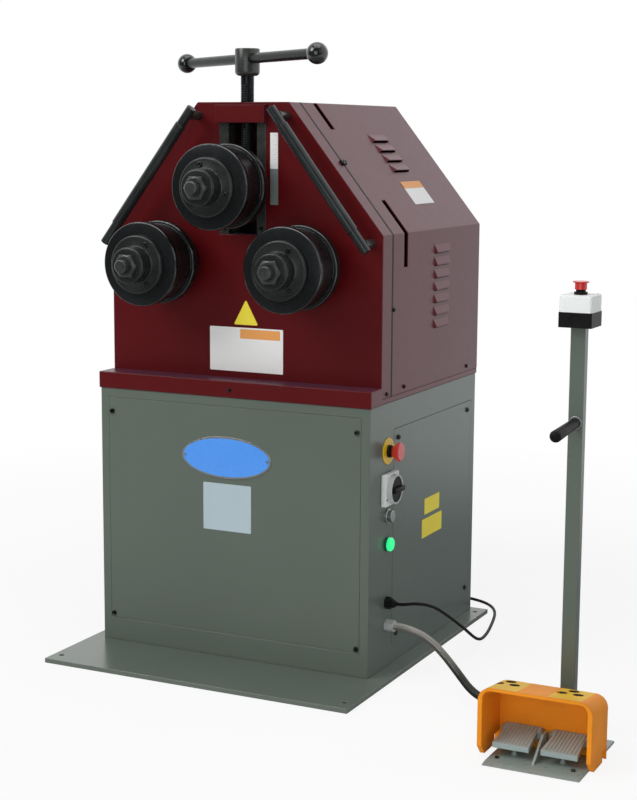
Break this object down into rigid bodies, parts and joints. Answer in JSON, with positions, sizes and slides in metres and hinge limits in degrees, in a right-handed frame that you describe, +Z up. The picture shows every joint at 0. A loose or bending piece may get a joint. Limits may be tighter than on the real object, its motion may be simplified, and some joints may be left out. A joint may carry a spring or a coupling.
{
  "type": "ring roller",
  "caption": "Floor-standing ring roller with an adjustable top roller, two driven lower rollers, T-handle press screw and a separate foot station.",
  "frame": {"origin": "on the floor under the middle of the cabinet", "axes": "+Z up, +X to the right along the front, +Y towards the back"},
  "size_m": [1.252, 1.0555, 1.309],
  "materials": {
    "grey_paint": "satin grey-green paint",
    "red_paint": "satin dark red paint",
    "black_steel": "blackened oiled steel",
    "steel": "bare machined steel",
    "bronze": "bearing bronze",
    "cast_iron": "cast iron, painted grey",
    "scale": "matt aluminium strip",
    "yellow_plastic": "yellow moulded plastic",
    "black_plastic": "black moulded plastic",
    "red_plastic": "red moulded plastic",
    "light_plastic": "light grey moulded plastic",
    "chrome": "bright plated metal",
    "green_lens": "green lens, lit",
    "cord_black": "black flexible lead",
    "hose_metal": "silver braided hose",
    "orange_paint": "orange textured paint"
  },
  "bodies": {
    "root": {"base_plate": "grey_paint", "cabinet_frame": "grey_paint", "front_panel": "grey_paint", "service_panels": "grey_paint", "head_base": "red_paint", "head_housing": "red_paint", "rear_cover": "red_paint", "top_bridge": "red_paint", "screw_nut": "bronze", "slide_rails": "black_steel", "shaft_bearings": "black_steel", "bearing_plate": "steel", "gearmotor": "cast_iron", "guide_rods": "black_steel", "rod_brackets": "black_steel", "depth_scale": "scale", "stop_collar_side": "yellow_plastic", "switch_body": "light_plastic", "control_bezels": "chrome", "signal_lamp": "green_lens", "mains_gland": "black_plastic", "hose_glands": "chrome", "mains_cord": "cord_black", "cord_coil": "cord_black", "mains_plug": "black_plastic", "conduit": "hose_metal", "station_plate": "grey_paint", "foot_guard": "orange_paint", "pedal_pins": "steel", "station_post": "grey_paint", "station_grip": "black_plastic", "stop_box_base": "black_plastic", "stop_box_cover": "light_plastic"},
    "slide": {"slide_block": "black_steel"},
    "screw": {"press_screw": "black_steel", "handle_bar": "black_steel", "handle_knobs": "black_steel"},
    "upper_roller": {"top_shaft": "black_steel", "top_roller": "black_steel", "top_collar": "black_steel", "top_nut": "black_steel"},
    "lower_left_roller": {"left_shaft": "black_steel", "left_roller": "black_steel", "left_collar": "black_steel", "left_nut": "black_steel", "gear_left": "steel"},
    "lower_right_roller": {"right_shaft": "black_steel", "right_roller": "black_steel", "right_collar": "black_steel", "right_nut": "black_steel", "gear_right": "steel"},
    "pinion": {"drive_pinion": "steel"},
    "side_stop_stem": {"stop_stem_side": "black_plastic"},
    "side_stop_head": {"stop_head_side": "red_plastic"},
    "main_switch": {"switch_knob": "black_plastic"},
    "start_button": {"push_button": "chrome"},
    "forward_pedal": {"pedal_left": "cast_iron"},
    "reverse_pedal": {"pedal_right": "cast_iron"},
    "station_stop_stem": {"stop_stem_station": "black_plastic"},
    "station_stop_head": {"stop_head_station": "red_plastic"}
  },
  "joints": [
    {"name": "screw_turn", "type": "hinge", "parent": "slide", "child": "screw", "pos_m": [0, -0.224, 1.15], "axis": [0, 0, 1], "range_deg": [-3600, 2160]},
    {"name": "top_slide", "type": "slide", "parent": "root", "child": "slide", "axis": [0, 0, 1], "range_m": [-0.0501, 0.0301]},
    {"name": "top_roller_spin", "type": "hinge", "parent": "slide", "child": "upper_roller", "pos_m": [0, -0.3, 1.0246], "axis": [0, 1, 0], "continuous": true},
    {"name": "left_roller_spin", "type": "hinge", "parent": "root", "child": "lower_left_roller", "pos_m": [-0.1665, -0.3, 0.862], "axis": [0, 1, 0], "continuous": true},
    {"name": "right_roller_spin", "type": "hinge", "parent": "root", "child": "lower_right_roller", "pos_m": [0.1665, -0.3, 0.862], "axis": [0, 1, 0], "continuous": true},
    {"name": "pinion_spin", "type": "hinge", "parent": "root", "child": "pinion", "pos_m": [0, -0.14, 0.862], "axis": [0, 1, 0], "continuous": true},
    {"name": "side_stop_press", "type": "slide", "parent": "root", "child": "side_stop_stem", "axis": [1, 0, 0], "range_m": [-0.004, 0]},
    {"name": "side_stop_twist", "type": "hinge", "parent": "side_stop_stem", "child": "side_stop_head", "pos_m": [0.34, -0.208, 0.4785], "axis": [1, 0, 0], "range_deg": [0, 40], "stiffness_Nm_per_rad": 0.05},
    {"name": "main_switch_turn", "type": "hinge", "parent": "root", "child": "main_switch", "pos_m": [0.34, -0.208, 0.399], "axis": [1, 0, 0], "range_deg": [0, 90]},
    {"name": "start_button_press", "type": "slide", "parent": "root", "child": "start_button", "axis": [1, 0, 0], "range_m": [-0.003, 0], "stiffness_N_per_m": 400, "springref_m": 0.002},
    {"name": "forward_pedal_press", "type": "hinge", "parent": "root", "child": "forward_pedal", "pos_m": [0.7365, -0.5115, 0.031], "axis": [1, 0, 0], "range_deg": [0, 6], "stiffness_Nm_per_rad": 8, "springref_deg": -5.73},
    {"name": "reverse_pedal_press", "type": "hinge", "parent": "root", "child": "reverse_pedal", "pos_m": [0.8335, -0.5115, 0.031], "axis": [1, 0, 0], "range_deg": [0, 6], "stiffness_Nm_per_rad": 8, "springref_deg": -5.73},
    {"name": "station_stop_press", "type": "slide", "parent": "root", "child": "station_stop_stem", "axis": [0, 0, 1], "range_m": [-0.004, 0]},
    {"name": "station_stop_twist", "type": "hinge", "parent": "station_stop_stem", "child": "station_stop_head", "pos_m": [0.795, -0.414, 0.86], "axis": [0, 0, 1], "range_deg": [0, 40], "stiffness_Nm_per_rad": 0.05}
  ],
  "couplings": [
    {"joint": "top_slide", "follows": "screw_turn", "m_per_rad": 0.00079577},
    {"joint": "right_roller_spin", "follows": "left_roller_spin", "ratio": 1},
    {"joint": "pinion_spin", "follows": "left_roller_spin", "ratio": -2.0833}
  ]
}
